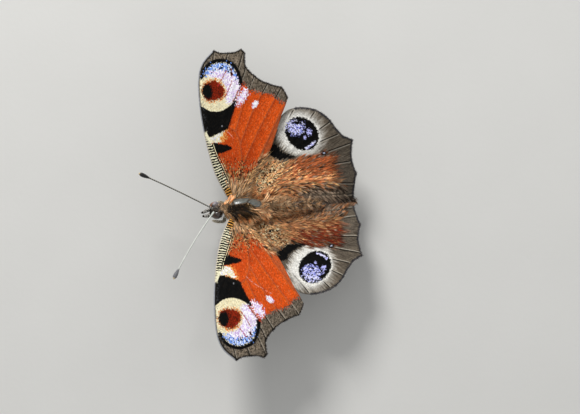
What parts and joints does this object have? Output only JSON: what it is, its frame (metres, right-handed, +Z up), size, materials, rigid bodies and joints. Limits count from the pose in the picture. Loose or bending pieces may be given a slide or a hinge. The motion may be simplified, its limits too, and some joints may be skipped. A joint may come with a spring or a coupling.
{
  "type": "peacock butterfly",
  "caption": "Peacock butterfly at life size, still and standing on its feet with its wings spread, with eye-spots, veins, club-tipped feelers and a furry body.",
  "frame": {"origin": "on the floor, at the centre of the base of the bounding box", "axes": "+Z up; the head points to -Y; +X is the animal's left, along the wing span"},
  "size_m": [0.0622, 0.0434, 0.0147],
  "materials": {
    "body_fur": "fox-brown body hair, matt",
    "dark_fur": "dark brown hair and scales, matt",
    "rust_scales": "rust-red wing scales with black, cream and blue marks, matt",
    "brown_scales": "red-brown and grey-brown wing scales with an eye-spot, matt",
    "compound_eye": "dark brown compound eye, glossy",
    "antenna_scales": "dark scales ringed with white, half matt",
    "leg_scales": "grey-brown leg scales, matt"
  },
  "bodies": {
    "root": {"head": "dark_fur", "eye_left": "compound_eye", "eye_right": "compound_eye", "antenna_left": "antenna_scales", "antenna_right": "antenna_scales", "palp_left": "dark_fur", "palp_right": "dark_fur", "proboscis": "antenna_scales", "thorax": "body_fur", "abdomen": "dark_fur", "forewing_left": "rust_scales", "forewing_right": "rust_scales", "hindwing_left": "brown_scales", "hindwing_right": "brown_scales", "foreleg_left": "leg_scales", "foreleg_right": "leg_scales", "midleg_left": "leg_scales", "midleg_right": "leg_scales", "hindleg_left": "leg_scales", "hindleg_right": "leg_scales"}
  },
  "joints": []
}
